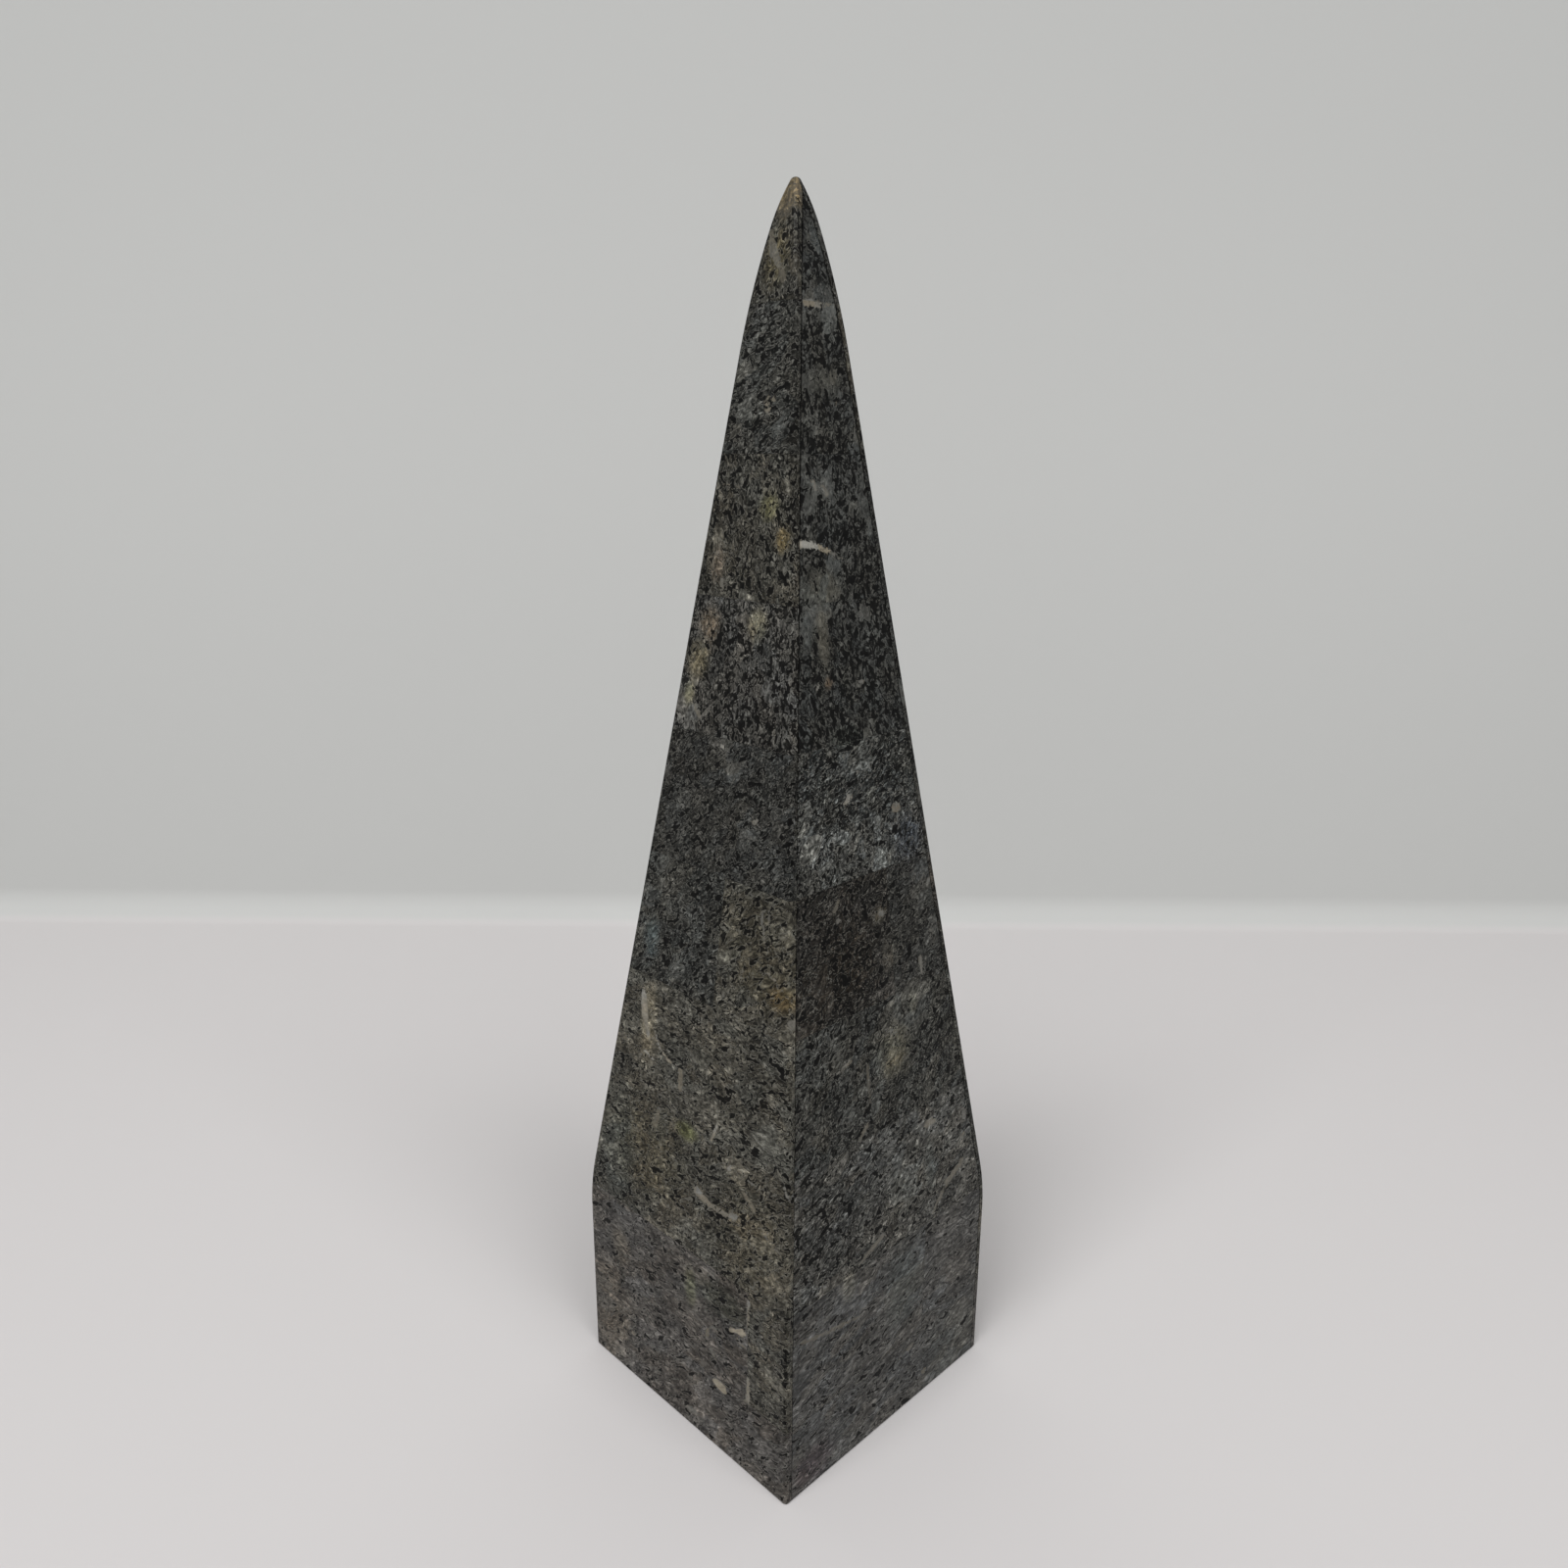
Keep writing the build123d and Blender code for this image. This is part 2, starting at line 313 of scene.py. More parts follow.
class ObeliskStage(bpy.types.PropertyGroup):
    """Where the obelisk is shown, by which light and from where."""

    floor: a_colour("Floor", "Colour of the floor", (0.62, 0.60, 0.598))
    wall_low: a_colour("Wall's foot", "Colour of the wall's lower part", (0.56, 0.565, 0.553))
    # The wall's top is painted darker than its foot: painted shade for less light on the upper wall
    shaded_wall_top: a_colour("Wall's top", "Colour of the wall's upper part", (0.4704, 0.4746, 0.46452))
    room: a_colour("Room", "Colour of the light from the room around", (0.24, 0.24, 0.24))
    backdrop: a_colour("Backdrop", "Colour seen beyond the floor and the wall", (0.7, 0.7, 0.69))
    turn: an_angle("Stage turn", "Turn of the floor, wall and lamps about the obelisk", 45)
    wall_distance: a_length("Wall distance", "Distance of the wall behind the obelisk", 0.42)
    key: a_power("Key light", "Power of the softbox on the left", 33.0)
    fill: a_power("Fill light", "Power of the softbox on the right", 19.5)
    lamp_side: a_length("Lamp side", "Side of the square softboxes", 1.1)
    lamp_aim: a_length("Lamp aim", "Height on the obelisk that the softboxes face", 0.15)
    camera_turn: an_angle("Camera turn", "Turn of the camera about the obelisk", 45.12)
    camera_left: a_length("Camera left", "Distance of the camera to the left of the obelisk", 2.19 * MM)
    camera_distance: a_length("Camera distance", "Distance of the camera from the obelisk", 370.66 * MM)
    camera_height: a_length("Camera height", "Height of the camera above the floor", 324.88 * MM)
    camera_tilt: an_angle("Camera tilt", "Angle by which the camera looks down", 15.82)
    camera_roll: an_angle("Camera roll", "Turn of the camera about its own sight", 0.382)
    lens: bpy.props.FloatProperty(
        name="Lens", description="Focal length of the camera", default=27.045, min=1, unit="CAMERA")


class Value:
    """A number, vector or colour in a shader, so that shader maths reads as sums."""

    def __init__(self, material, socket):
        self.material, self.socket = material, socket

    def combine(self, operation, first, second):
        """A Math node on numbers, or a Vector Math node where either is a vector or a colour."""
        kind = "ShaderNodeMath"
        if any(isinstance(v, Value) and v.socket.type != "VALUE" for v in (first, second)):
            kind = "ShaderNodeVectorMath"
            first, second = [(v,) * 3 if isinstance(v, (int, float)) else v for v in (first, second)]
        return self.material.node(kind, {"operation": operation}, {0: first, 1: second})

    def __add__(self, other):
        return self.combine("ADD", self, other)

    def __sub__(self, other):
        return self.combine("SUBTRACT", self, other)

    def __rsub__(self, other):
        return self.combine("SUBTRACT", other, self)

    def __mul__(self, other):
        return self.combine("MULTIPLY", self, other)

    def __rpow__(self, base):
        return self.combine("POWER", base, self)

    def __abs__(self):
        return self.combine("ABSOLUTE", self, 0.0)

    __radd__, __rmul__ = __add__, __mul__

    def output(self, name):
        """Another output of the same node."""
        return Value(self.material, self.socket.node.outputs[name])


class Material:
    """A node material, or the world's light, being written."""

    def __init__(self, name, made_in=bpy.data.materials):
        self.block = made_in.new(name)
        self.block.use_nodes = True
        self.tree = self.block.node_tree
        self.tree.nodes.clear()

    def node(self, kind, settings=None, inputs=None, output=0):
        """Adds a node: its settings first, then the values or links of its sockets."""
        node = self.tree.nodes.new(kind)
        for key, setting in (settings or {}).items():
            setattr(node, key, setting)
        for key, value in (inputs or {}).items():
            if isinstance(value, Value):
                self.tree.links.new(value.socket, node.inputs[key])
            else:
                node.inputs[key].default_value = value
        return Value(self, node.outputs[output]) if node.outputs else node

    def step(self, value, low, high):
        """0 below low and 1 above high, with a smooth change between. Low may be the larger."""
        return self.node("ShaderNodeMapRange", {"interpolation_type": "SMOOTHSTEP"},
                         {"Value": value, "From Min": low, "From Max": high})

    def larger(self, first, second):
        """The larger of two numbers."""
        return self.node("ShaderNodeMath", {"operation": "MAXIMUM"}, {0: first, 1: second})

    def mix(self, share, first, second):
        """From the first colour to the second."""
        first, second = [c if isinstance(c, Value) else (*c, 1.0) for c in (first, second)]
        return self.node("ShaderNodeMix", {"data_type": "RGBA"}, {0: share, 6: first, 7: second}, 2)

    def noise(self, place, scale, detail, roughness=0.5):
        """Soft noise around a half, with its own colour as another output."""
        return self.node("ShaderNodeTexNoise", {}, {
            "Vector": place, "Scale": scale, "Detail": detail, "Roughness": roughness})

    def attribute(self, name, output):
        """What the mesh says at each point."""
        return self.node("ShaderNodeAttribute", {"attribute_name": name}, {}, output)

    def parts(self, value, kind="XYZ"):
        """The three numbers in a vector, or in a colour."""
        first = self.node(f"ShaderNodeSeparate{kind}", {}, {0: value})
        return [first.output(axis) for axis in range(3)]

    def millimetres(self):
        """The place on the object, in millimetres."""
        return self.node("ShaderNodeTexCoord", {}, {}, "Object") * 1000.0

    def surface(self, inputs):
        """Ends the material in a principled shader with these inputs."""
        shader = self.node("ShaderNodeBsdfPrincipled", {}, inputs)
        self.node("ShaderNodeOutputMaterial", {}, {"Surface": shader})
        return self.block


def on_arc(centre, radius, lean):
    """The point of a round curve where the face leans in by this angle."""
    return centre[0] + radius * cos(lean), centre[1] + radius * sin(lean)


def half_width(form, z, inset=0.0):
    """Half the width of a face, moved in by inset, at each height.

    Up the foot it is constant. On the shoulder, bow, crown and tip it is the arc's
    centre_x + sqrt(radius^2 - (z - centre_z)^2), and between shoulder and bow it falls by tan(lean).
    The lowest edge of the finished face is rounded by edge - sqrt(edge^2 - (edge - z)^2).
    """
    shoulder = (form.foot_side / 2 - form.shoulder_radius, form.foot_height)
    tip = (0.0, form.height - form.tip_radius)
    crown = on_arc(tip, form.tip_radius - form.crown_radius, form.crown_lean)
    bow = on_arc(crown, form.crown_radius - form.bow_radius, form.bow_lean)
    across, up = bow[0] - shoulder[0], bow[1] - shoulder[1]
    lean = atan2(up, across) - acos((form.shoulder_radius - form.bow_radius) / hypot(across, up))
    taper = on_arc(shoulder, form.shoulder_radius - inset, lean)
    arcs = [(shoulder, form.shoulder_radius, 0.0), (bow, form.bow_radius, lean),
            (crown, form.crown_radius, form.bow_lean)]
    if inset < form.tip_radius:
        arcs.append((tip, form.tip_radius, form.crown_lean))
    width = np.full_like(z, form.foot_side / 2 - inset)
    for centre, radius, low in arcs:
        reach = radius - inset
        arc = centre[0] + np.sqrt(np.clip(reach**2 - (z - centre[1]) ** 2, 0, None))
        width = np.where(z > on_arc(centre, reach, low)[1], arc, width)
        if centre is shoulder:
            width = np.where(z > taper[1], taper[0] - (z - taper[1]) * np.tan(lean), width)
    if inset == 0:
        edge = form.foot_radius
        width = width - (edge - np.sqrt(edge**2 - np.clip(edge - z, 0, None) ** 2))
    return np.clip(width, 0, None)


def ridge_height(form):
    """Height at which the two ends of a fitted tile meet.

    The crown, moved in by the thickness of a tile and a joint, reaches the middle where
    (z - centre_z)^2 is reach^2 - centre_x^2.
    """
    tip = (0.0, form.height - form.tip_radius)
    centre = on_arc(tip, form.tip_radius - form.crown_radius, form.crown_lean)
    reach = form.crown_radius - form.tile_thickness - form.lap_joint
    return centre[1] + sqrt(reach**2 - centre[0] ** 2)


def course_span(form, course):
    """Bottom and top of a course counted from the foot, with half a joint taken off each bed."""
    rise = (form.height - form.lowest_course_height - form.top_course_height) / (form.course_count - 2)
    beds = [0, *(form.lowest_course_height + n * rise for n in range(form.course_count - 1)), form.height]
    bottom = beds[course - 1] + (form.joint / 2 if course > 1 else 0)
    top = beds[course] - (form.joint / 2 if course < form.course_count else 0)
    return bottom, top


def stone_solid(form, z, left, right, back, steps, sunk):
    """Points of one stone: a closed outline in (across, out) at each height, carried up the face.

    The outline runs along the polished face from left to right and returns along the back. An end
    given as None is an arris, rounded by a quarter circle of points around (width - r, width - r).
    The points next to each end stand the width of the line of painted joint shade from it. The
    polished face may lie sunk a little into the obelisk.
    """
    width = half_width(form, z)[:, None] - sunk
    radius = np.minimum(form.arris_radius, ARRIS_SHARE * width)
    quarter = np.linspace(0, pi / 2, ARRIS_POINTS)[None, :]
    face_left = -(width - radius) if left is None else left[:, None]
    face_right = width - radius if right is None else right[:, None]
    share = np.tile(np.linspace(0, 1, steps + 2), (len(z), 1))
    near = np.clip(form.joint_shade_width / np.maximum(face_right - face_left, MM), 0, JOINT_SHADE_SHARE)
    share[:, 1:2], share[:, -2:-1] = near, 1 - near
    across = face_left + (face_right - face_left) * share
    out = np.broadcast_to(width, across.shape)
    if left is None:
        across = np.hstack([-(width - radius) - radius * np.cos(quarter), across[:, 1:]])
        out = np.hstack([width - radius + radius * np.sin(quarter), out[:, 1:]])
    if right is None:
        across = np.hstack([across[:, :-1], width - radius + radius * np.sin(quarter)])
        out = np.hstack([out[:, :-1], width - radius + radius * np.cos(quarter)])
    end_left = -width if left is None else left[:, None]
    end_right = width if right is None else right[:, None]
    back_share = np.linspace(1, 0, BACK_POINTS)[None, :]
    back = np.minimum(back[:, None], out[:, :1] - HAIR)
    across = np.hstack([across, end_left + (end_right - end_left) * back_share])
    out = np.hstack([out, np.broadcast_to(back, (len(z), BACK_POINTS))])
    return np.stack([across, out, np.broadcast_to(z[:, None], across.shape)], axis=2)


def loft(points, first):
    """Faces between successive closed outlines, with a flat cap on the lowest and the highest."""
    rows, columns = points.shape[:2]
    low = np.arange(rows - 1)[:, None] * columns + np.arange(columns)[None, :]
    side = np.roll(low, -1, axis=1)
    quads = np.stack([low, side, side + columns, low + columns], axis=2).reshape(-1, 4) + first
    caps = [list(range(first + columns - 1, first - 1, -1)),
            list(range(first + (rows - 1) * columns, first + rows * columns))]
    return quads.tolist() + caps


def add_piece(name, vertices, faces, material):
    """A new object with these points and faces, shaded smooth except over its sharp edges."""
    mesh = bpy.data.meshes.new(name)
    mesh.from_pydata(vertices.tolist(), [], faces)
    mesh.materials.append(material)
    mesh.polygons.foreach_set("use_smooth", np.ones(len(faces), dtype=bool))
    mesh.set_sharp_from_angle(angle=radians(35))
    piece = bpy.data.objects.new(name, mesh)
    bpy.context.scene.collection.objects.link(piece)
    return piece


def polished_stone(face):
    """Grey stone full of black grains and pale flecks, drawn in each stone's own place and grain."""
    finish = bpy.context.scene.obelisk_finish
    stone = Material(f"{face}_stone")
    place = stone.millimetres()
    fineness, tilt, blackness = stone.parts(stone.attribute("stone_grain", "Vector"))
    reach, light, contrast = stone.parts(stone.attribute("stone_shell", "Vector"))
    tint = stone.attribute("stone_tint", "Color")
    out = radians(FACES[face][0] - 90)
    turned = stone.node("ShaderNodeVectorRotate", {"rotation_type": "AXIS_ANGLE"}, {
        "Vector": place, "Axis": (cos(out), sin(out), 0), "Angle": tilt})
    run = stone.node("ShaderNodeCombineXYZ", {}, {0: 1.0, 1: 1.0, 2: tint.output("Alpha")})
    grain = turned * run * fineness + stone.attribute("stone_place", "Vector")
    drift = stone.noise(grain, 0.20, 2.0).output("Color") - 0.5
    ripple = stone.noise(grain, 0.9, 1.0).output("Color") - 0.5
    bent = grain + drift * 3.8 + ripple * 1.0

    # Tone: large clouds, patches of a few millimetres that lean warm or cool, and fine mottling
    cloud = stone.noise(place + drift * 6.0, 0.055, 3.0, 0.55)
    patches = stone.node("ShaderNodeTexVoronoi", {"feature": "SMOOTH_F1"}, {
        "Vector": bent, "Scale": 0.17, "Smoothness": 0.25})
    pick = stone.parts(patches.output("Color"), "Color")
    mottle = stone.noise(bent, 0.85, 2.5, 0.6)
    side = stone.noise(grain, 0.35, 1.0)

    # Fragments, each of one tone, and the distance to the gap around them
    cells = {"Vector": bent, "Scale": 0.5}
    fragments = stone.node("ShaderNodeTexVoronoi", {"feature": "F1"}, cells)
    tone = stone.parts(fragments.output("Color"), "Color")[0] - 0.5
    gap = stone.node("ShaderNodeTexVoronoi", {"feature": "DISTANCE_TO_EDGE"}, cells)

    # Black grains with pale rims, black gaps, and thin strokes, pale or dark
    plain = stone.step(cloud + 0.25 * (pick[1] - 0.5), 0.66, 0.60)
    share = blackness * (0.60 + 0.8 * side) * plain
    level = stone.noise(bent, 0.60, 1.5, 0.5) - 0.70 + 0.24 * share
    specks = stone.noise(bent, 1.4, 1.0, 0.5) - 0.74 + 0.28 * share
    black = stone.larger(stone.step(level, -0.006, 0.012), stone.step(specks, -0.01, 0.02) * 0.85)
    rim = stone.step(abs(level + 0.032), 0.026, 0.010)
    seams = stone.step(gap - 0.9 * (mottle - 0.56) - 0.2 * (share - 0.4), 0.07, 0.01)
    strokes = abs(stone.noise(bent, 0.42, 1.5, 0.6) - 0.5)
    pale_strokes = stone.step(strokes, 0.024, 0.006) * stone.step(side, 0.50, 0.42)
    dark_strokes = stone.step(strokes, 0.020, 0.008) * stone.step(side, 0.50, 0.56) * plain

    warm = stone.mix(pick[2], (0.96, 1.0, 1.035), (1.04, 1.0, 0.94))
    ground = tint * warm * 2.0 ** (
        contrast * ((mottle - 0.5) * 10.0 + tone * 1.0 + (pick[0] - 0.5) * 0.8) + (cloud - 0.5) * 1.7)
    flecks = stone.larger(rim * 0.40, pale_strokes * 0.45) * contrast
    ground = stone.mix(flecks, ground, finish.fleck_pale)
    dark = stone.larger(stone.larger(black, seams), dark_strokes * 0.8)
    colour = stone.mix(dark * 0.95, ground, finish.grain_black)

    # Pieces of shell, with edges as uneven as the mottling
    shell = stone.step(reach + 2.8 * (mottle - 0.5), 0.30, -0.20) * (0.5 + 0.5 * light)
    bright = stone.mix(pick[2], finish.shell_cream, finish.shell_white)
    bright = bright * (0.12 + 0.6 * light) * (0.3 + 1.4 * mottle)
    colour = stone.mix(shell, colour, bright)
    relief = stone.node("ShaderNodeBump", {}, {"Strength": 0.25, "Distance": 0.00006, "Height": 1 - dark})
    return stone.surface({
        "Base Color": colour, "Roughness": finish.polish + 0.2 * dark, "Normal": relief, "IOR": 1.5,
        "Specular IOR Level": finish.gloss})


def plain_finish(name, colour, scale, roughness):
    """A matt finish with a fine uneven tone."""
    stuff = Material(name)
    tone = stuff.noise(stuff.millimetres(), scale, 4.0, 0.6)
    shade = stuff.mix(tone, [0.6 * c for c in colour], [1.4 * c for c in colour])
    relief = stuff.node("ShaderNodeBump", {}, {"Strength": 0.4, "Distance": 0.0003, "Height": tone})
    return stuff.surface({"Base Color": shade, "Roughness": roughness, "Normal": relief})


def stone_tones(face, points, kind):
    """Colour and share of black grains at each point: the stone's own, times each patch it lies in.

    A patch counts by exp(-d^4), with d the point's distance from its middle in patch widths.
    """
    colour, _, blackness, *_ = STONES[kind]
    tones = np.tile([*colour, blackness], (len(points), 1))
    for across, up, wide, high, tone, black in PATCHES.get(face, []):
        reach = ((points[:, 0] / MM - across) / wide) ** 2 + ((points[:, 2] / MM - up) / high) ** 2
        tones *= 1 + np.exp(-(reach**2))[:, None] * (np.array([*tone, black]) - 1)
    return tones


def shell_reach(face, points):
    """Distance in millimetres from each point to the nearest piece of shell's edge, and its brightness.

    A piece runs straight from one end to the other, and its half thickness changes evenly between them.
    """
    across, up = points[:, 0] / MM, points[:, 2] / MM
    nearest, light = np.full(len(points), FAR), np.zeros(len(points))
    for x1, z1, x2, z2, thick1, thick2, bright in SHELLS.get(face, []):
        along = ((across - x1) * (x2 - x1) + (up - z1) * (z2 - z1)) / ((x2 - x1) ** 2 + (z2 - z1) ** 2)
        along = np.clip(along, 0, 1)
        reach = np.hypot(across - x1 - along * (x2 - x1), up - z1 - along * (z2 - z1))
        reach -= thick1 + along * (thick2 - thick1)
        light = np.where(reach < nearest, bright, light)
        nearest = np.minimum(nearest, reach)
    return nearest, light


def painted_shade(form, face, points):
    """Share of painted shade at each point of a face's stones.

    A fitted tile has it on a line along each end, painted shade of the lap joint beside it, which
    fades out below the shade's foot. A tile that laps over the arrises has painted shade of
    exp(-d^4), with d the distance from the arris in shade widths, between two heights, which dulls
    the highlight of the rounded arris.
    """
    finish = bpy.context.scene.obelisk_finish
    across, up = np.abs(points[:, 0]), points[:, 2]
    end = face_ends(form, face, up)[1]
    # Painted shade of the lap joint along a fitted tile's ends, fading out below its foot
    if end is not None:
        fade = np.clip(1 - (form.joint_shade_foot - up) / form.joint_shade_fade, 0, 1)
        return finish.painted_shade * (across > end - HAIR) * fade
    # Painted shade along an arris between two heights, dulling the rounded arris's highlight
    reach = (half_width(form, up) - across) / form.arris_shade_width
    fade = np.clip(np.minimum(up - form.arris_shade_low, form.arris_shade_high - up) / form.arris_shade_fade, 0, 1)
    return finish.arris_shade * np.exp(-(reach**4)) * fade


def face_ends(form, face, z):
    """Ends of a fitted tile at each height, left and right. A tile that laps over the arrises has none."""
    if FACES[face][0] % 180 == 0:
        return None, None
    end = half_width(form, z, form.tile_thickness + form.lap_joint)
    return -end, end


def laid_stones(form, face):
    """Each course's stones, as (kind, heights, left end, right end), from the foot up."""
    turn, splits, courses = FACES[face]
    for course, kinds in enumerate(courses, start=1):
        low, high = course_span(form, course)
        way, share = splits.get(course, (None, 0))
        bed, middle = low + share * (high - low), share * form.foot_side
        spans = [(low, high)] * 2
        if way == "level":
            spans = [(low, bed - form.joint / 2), (bed + form.joint / 2, high)]
        stones = []
        for index, kind in enumerate(kinds):
            low, high = spans[index]
            if course == form.course_count:
                high = (high if turn % 180 == 0 else ridge_height(form)) - HAIR
                rise = low + (high - low) * np.sin(np.linspace(0, pi / 2, TOP_HEIGHTS))
            else:
                rise = np.linspace(low, high, max(int((high - low) / MESH_STEP), 2))
            if low == 0:
                rounding = np.linspace(0, form.foot_radius, FOOT_HEIGHTS)[1:]
                rise = np.sort(np.concatenate([rise, rounding]))
            ends = list(face_ends(form, face, rise))
            if way == "upright":
                ends[1 - index] = np.full_like(rise, middle + (index - 0.5) * form.joint)
            stones.append((kind, rise, *ends))
        yield course, stones


def joint_strips(form, face):
    """The filling of each joint on a face, as (kind, heights, left end, right end), from the foot up."""
    turn, splits, courses = FACES[face]
    for course in range(1, form.course_count + 1):
        low, high = course_span(form, course)
        way, share = splits.get(course, (None, 0))
        levels = [high + form.joint / 2] * (course < form.course_count)
        levels += [low + share * (high - low)] * (way == "level")
        for level in levels:
            rise = level + np.array([-0.5, 0.5]) * form.joint
            yield courses[course - 1][0], rise, *face_ends(form, face, rise)
        if way == "upright":
            rise = np.linspace(low, high, JOINT_HEIGHTS)
            middle = np.full_like(rise, share * form.foot_side)
            yield courses[course - 1][0], rise, middle - form.joint / 2, middle + form.joint / 2


def stone_piece(form, face, name, stones, material, chance, sunk=0.0):
    """One mesh of stones, with what the stone material needs to know at each of its points."""
    angle = radians(FACES[face][0])
    spin = np.array([[cos(angle), sin(angle), 0], [sin(angle), -cos(angle), 0], [0, 0, 1]])
    vertices, faces, places, grains, tints, shells = [], [], [], [], [], []
    for kind, rise, left, right in stones:
        wide = half_width(form, rise[:1])[0]
        reach = (wide if right is None else right[0]) + (wide if left is None else -left[0])
        back = np.maximum(half_width(form, rise, form.tile_thickness), form.joint / 2)
        points = stone_solid(form, rise, left, right, back, max(int(reach / MESH_STEP), 2), sunk)
        faces += loft(points, sum(map(len, vertices)))
        points = points.reshape(-1, 3)
        vertices.append(points @ spin.T)
        _, fineness, _, contrast, run, lean = STONES[kind]
        ones = np.ones(len(points))
        tones = stone_tones(face, points, kind)
        # Painted shade darkens the colour along the fitted tiles' ends beside the lap joints, and along the
        # arrises against their highlight
        tones[:, :3] *= 1 - painted_shade(form, face, points)[:, None]
        places.append(np.outer(ones, chance.uniform(-CUT_SPREAD, CUT_SPREAD, 3)))
        tilt = radians(lean) + chance.uniform(-LEAN_SPREAD, LEAN_SPREAD)
        grains.append(np.column_stack([ones * fineness, ones * tilt, tones[:, 3]]))
        tints.append(np.column_stack([tones[:, :3], ones * run]))
        shells.append(np.column_stack([*shell_reach(face, points), ones * contrast]))
    piece = add_piece(name, np.concatenate(vertices), faces, material)
    for title, kind, values in (
        ("stone_place", "FLOAT_VECTOR", places), ("stone_grain", "FLOAT_VECTOR", grains),
        ("stone_shell", "FLOAT_VECTOR", shells), ("stone_tint", "FLOAT_COLOR", tints),
    ):
        data = piece.data.attributes.new(title, kind, "POINT").data
        data.foreach_set("color" if kind == "FLOAT_COLOR" else "vector", np.concatenate(values).ravel())
    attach(piece, "root")
    return piece


def lay_face(face):
    """Lays the tiles of a face and fills the joints between them nearly flush."""
    form = bpy.context.scene.obelisk_form
    material = polished_stone(face)
    chance = np.random.default_rng(FACES[face][0] + SEED)
    for course, stones in laid_stones(form, face):
        tile = stone_piece(form, face, f"{face}_stone_{course:02d}", stones, material, chance)
        node = f"{face}_tile_{course:02d}"
        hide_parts(node)
    strips = list(joint_strips(form, face))
    filling = stone_piece(form, face, f"{face}_joint_filling", strips, material, chance, form.joint_depth)


class OBELISK_OT_lay_tiles(bpy.types.Operator):
    """Lay the tiles of one face"""

    bl_idname = "obelisk.lay_tiles"
    bl_label = "Lay tiles"
    face: bpy.props.EnumProperty(
        name="Face", description="Face that gets its tiles", items=[(f, f.title(), "") for f in FACES])

    def execute(self, context):
        lay_face(self.face)
        return {"FINISHED"}


class OBELISK_OT_dress_core(bpy.types.Operator):
    """Give the core and the pad under it their finishes"""

    bl_idname = "obelisk.dress_core"
    bl_label = "Dress core and pad"

    def execute(self, context):
        for node, name, tone, scale, roughness in (
            ("core", "core_board", (0.03, 0.026, 0.022), 2.0, 0.8),
            ("base_pad", "pad_felt", (0.02, 0.02, 0.022), 3.0, 0.95),
        ):
            frame["nodes"][node].data.materials[0] = plain_finish(name, tone, scale, roughness)
        return {"FINISHED"}


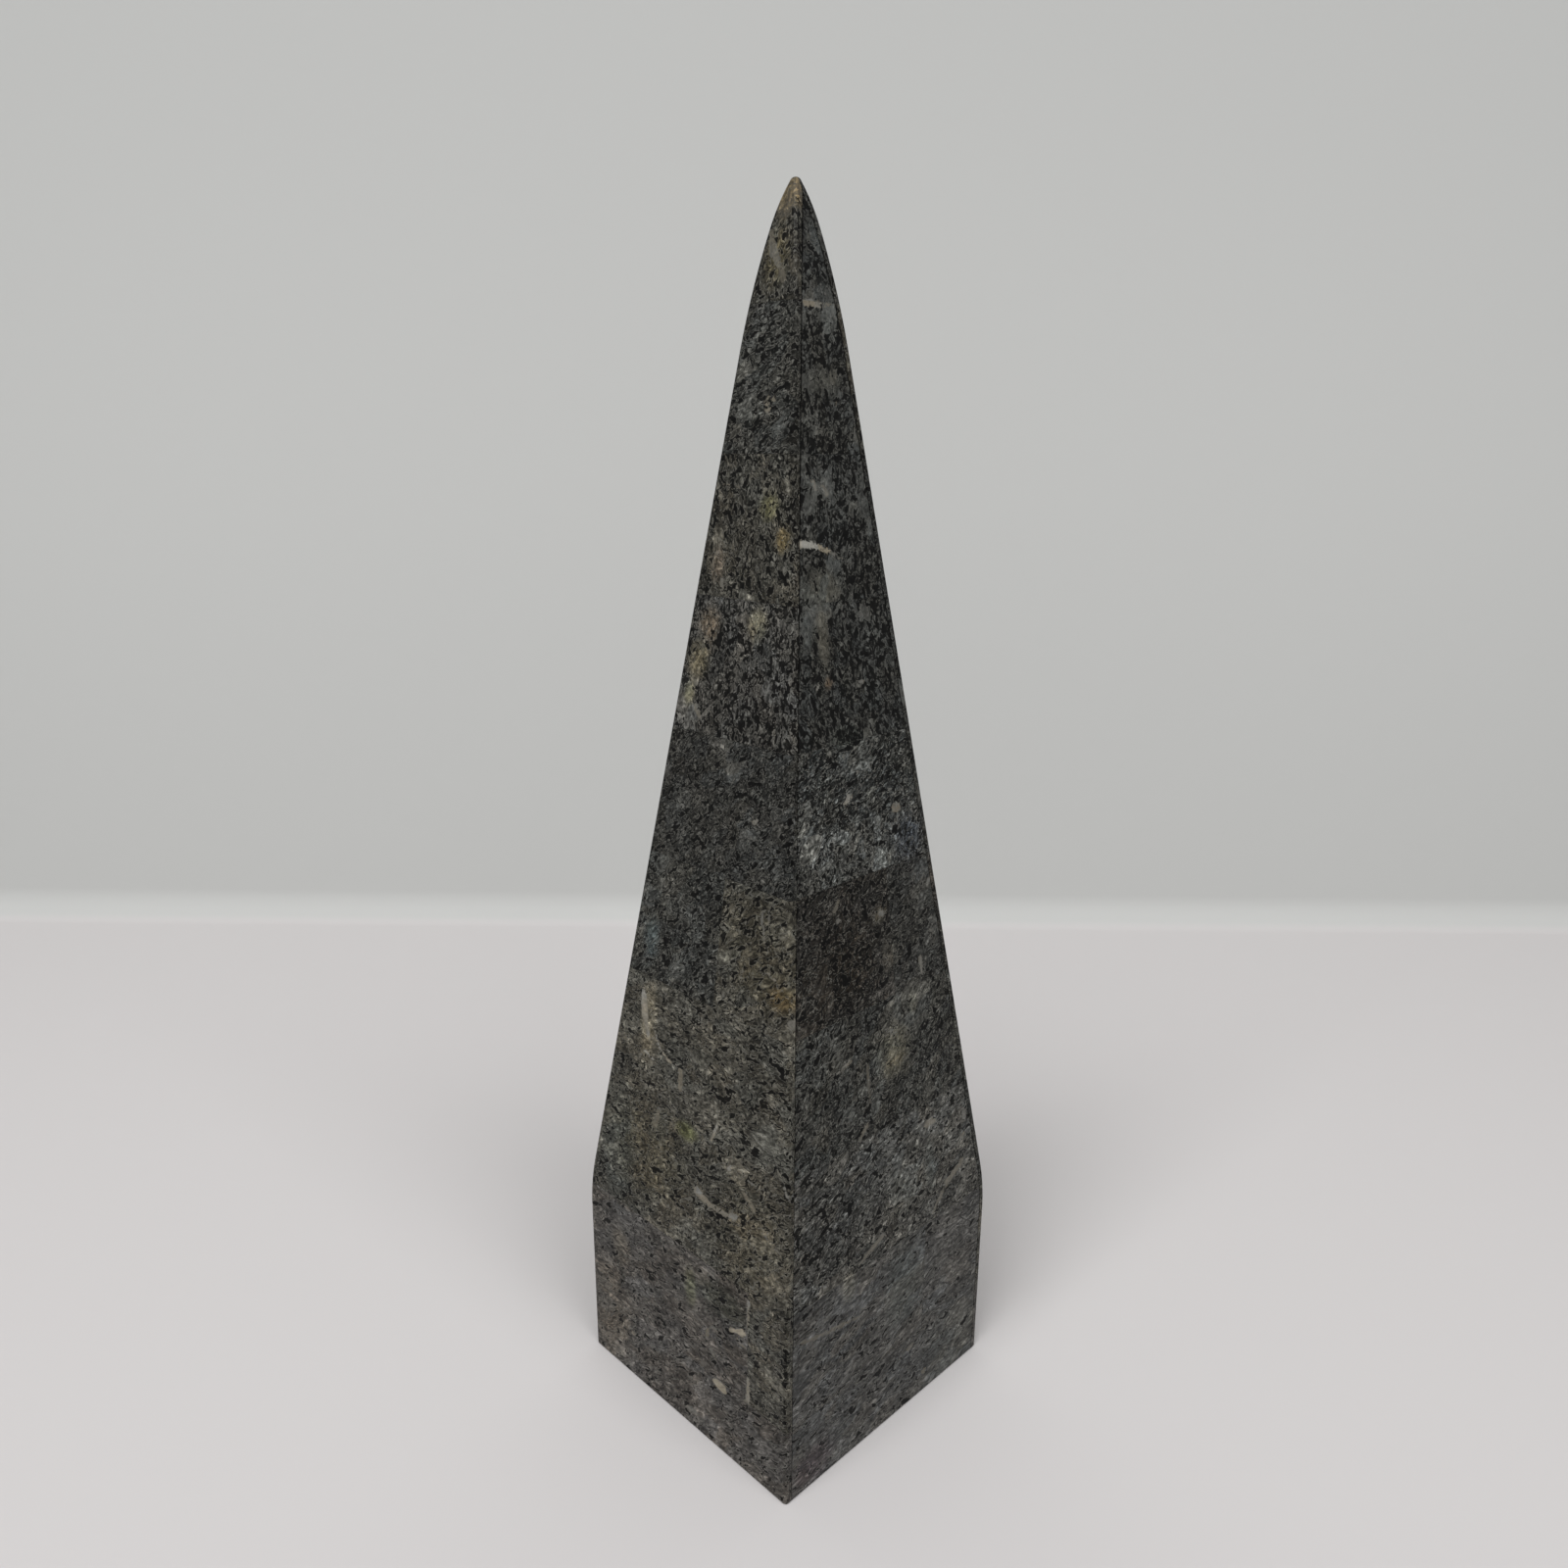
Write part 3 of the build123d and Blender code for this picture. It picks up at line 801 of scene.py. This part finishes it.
class OBELISK_OT_set_stage(bpy.types.Operator):
    """Set the obelisk on a pale floor under soft light, and make the camera"""

    bl_idname = "obelisk.set_stage"
    bl_label = "Set stage"

    def execute(self, context):
        stage = context.scene.obelisk_stage
        self.make_camera(context, stage)
        self.make_floor(stage)
        self.make_lamps(context, stage)
        self.make_room(context, stage)
        return {"FINISHED"}

    def make_camera(self, context, stage):
        """The camera before the arris between the front and right faces, looking down on it."""
        camera = bpy.data.objects.new("camera", bpy.data.cameras.new("camera"))
        context.scene.collection.objects.link(camera)
        camera.data.sensor_width = 36.0
        camera.data.lens = stage.lens
        camera.data.clip_start = 0.01
        spot = (-stage.camera_left, -stage.camera_distance, stage.camera_height)
        place = Matrix.Rotation(stage.camera_turn, 4, "Z") @ Matrix.Translation(spot)
        tilt = Matrix.Rotation(pi / 2 - stage.camera_tilt, 4, "X")
        camera.matrix_world = place @ tilt @ Matrix.Rotation(stage.camera_roll, 4, "Z")
        context.scene.camera = camera

    def make_floor(self, stage):
        """A floor that bends up into a wall: an upright profile carried straight to both sides.

        The bend is a quarter circle, radius (sin(a) - 1) in depth and radius (1 - cos(a)) up. All is in
        metres, and the material's heights are in millimetres.
        """
        front, half_wide, top, radius = -1.5, 0.85, 1.1, 0.02
        bend = np.linspace(0, pi / 2, 12)
        curve = stage.wall_distance + radius * (np.sin(bend) - 1)
        depth = np.concatenate([[front], curve, [stage.wall_distance]])
        rise = np.concatenate([[0], radius * (1 - np.cos(bend)), [top]])
        sides = np.array([[-half_wide, half_wide]])
        grid = np.stack(np.broadcast_arrays(sides, depth[:, None], rise[:, None]), axis=2)
        points = grid.reshape(-1, 3) @ np.array(Matrix.Rotation(stage.turn, 3, "Z")).T
        row = np.arange(len(depth) - 1)[:, None] * 2
        faces = np.hstack([row, row + 1, row + 3, row + 2]).tolist()
        matt = Material("stage_floor")
        height = matt.parts(matt.millimetres())[2]
        # Painted shade: the wall's colour darkens from its foot to its top, for less light on the upper
        # wall
        wall = matt.mix(matt.step(height, 250.0, 750.0), stage.wall_low, stage.shaded_wall_top)
        tone = matt.mix(matt.step(height, 0.0, 4.0), stage.floor, wall)
        paint = matt.surface({"Base Color": tone, "Roughness": 0.9})
        floor = add_piece("stage_floor", points, faces, paint)

    def make_lamps(self, context, stage):
        """Two square softboxes in front of the obelisk, above and to its left and right."""
        for name, watts, spot in (
            ("key_light", stage.key, (-0.75, -1.12, 2.0)),
            ("fill_light", stage.fill, (0.85, -1.1, 1.85)),
        ):
            lamp = bpy.data.objects.new(name, bpy.data.lights.new(name, "AREA"))
            context.scene.collection.objects.link(lamp)
            lamp.data.size, lamp.data.energy = stage.lamp_side, watts
            lamp.location = Matrix.Rotation(stage.turn, 3, "Z") @ Vector(spot)
            sight = Vector((0, 0, stage.lamp_aim)) - lamp.location
            lamp.rotation_euler = sight.to_track_quat("-Z", "Y").to_euler()

    def make_room(self, context, stage):
        """The room's soft light, with a paler backdrop where it is seen, mirrored or looked through."""
        room = Material("room", bpy.data.worlds)
        rays = room.node("ShaderNodeLightPath")
        seen = rays.output("Is Camera Ray")
        for ray in ("Is Glossy Ray", "Is Transmission Ray"):
            seen = room.larger(seen, rays.output(ray))
        light = room.node("ShaderNodeBackground", {}, {
            "Color": room.mix(seen, stage.room, stage.backdrop), "Strength": 1.0})
        room.node("ShaderNodeOutputWorld", {}, {"Surface": light})
        context.scene.world = room.block
        context.scene.view_settings.view_transform = "Standard"


class OBELISK_PT_panel(bpy.types.Panel):
    """Buttons and settings for the obelisk"""

    bl_label = "Obelisk"
    bl_idname = "OBELISK_PT_panel"
    bl_space_type = "VIEW_3D"
    bl_region_type = "UI"
    bl_category = "Obelisk"

    def draw(self, context):
        """A button for each operator, and a box for each group of settings."""
        layout = self.layout
        for face in FACES:
            layout.operator("obelisk.lay_tiles", text=f"Lay {face} tiles").face = face
        layout.operator("obelisk.dress_core")
        layout.operator("obelisk.set_stage")
        scene = context.scene
        for group in (scene.obelisk_form, scene.obelisk_finish, scene.obelisk_stage):
            box = layout.box()
            for name in group.__annotations__:
                box.prop(group, name)


CLASSES = (ObeliskForm, ObeliskFinish, ObeliskStage, OBELISK_OT_lay_tiles, OBELISK_OT_dress_core,
           OBELISK_OT_set_stage, OBELISK_PT_panel)


def register():
    """Adds the settings, operators and panel."""
    for cls in CLASSES:
        bpy.utils.register_class(cls)
    bpy.types.Scene.obelisk_form = bpy.props.PointerProperty(type=ObeliskForm)
    bpy.types.Scene.obelisk_finish = bpy.props.PointerProperty(type=ObeliskFinish)
    bpy.types.Scene.obelisk_stage = bpy.props.PointerProperty(type=ObeliskStage)


def unregister():
    """Takes them away again."""
    del bpy.types.Scene.obelisk_form, bpy.types.Scene.obelisk_finish, bpy.types.Scene.obelisk_stage
    for cls in reversed(CLASSES):
        bpy.utils.unregister_class(cls)


def main():
    """Sets the stage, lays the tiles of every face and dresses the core."""
    register()
    bpy.ops.obelisk.set_stage()
    for face in FACES:
        bpy.ops.obelisk.lay_tiles(face=face)
    bpy.ops.obelisk.dress_core()


if __name__ == "__main__":
    main()
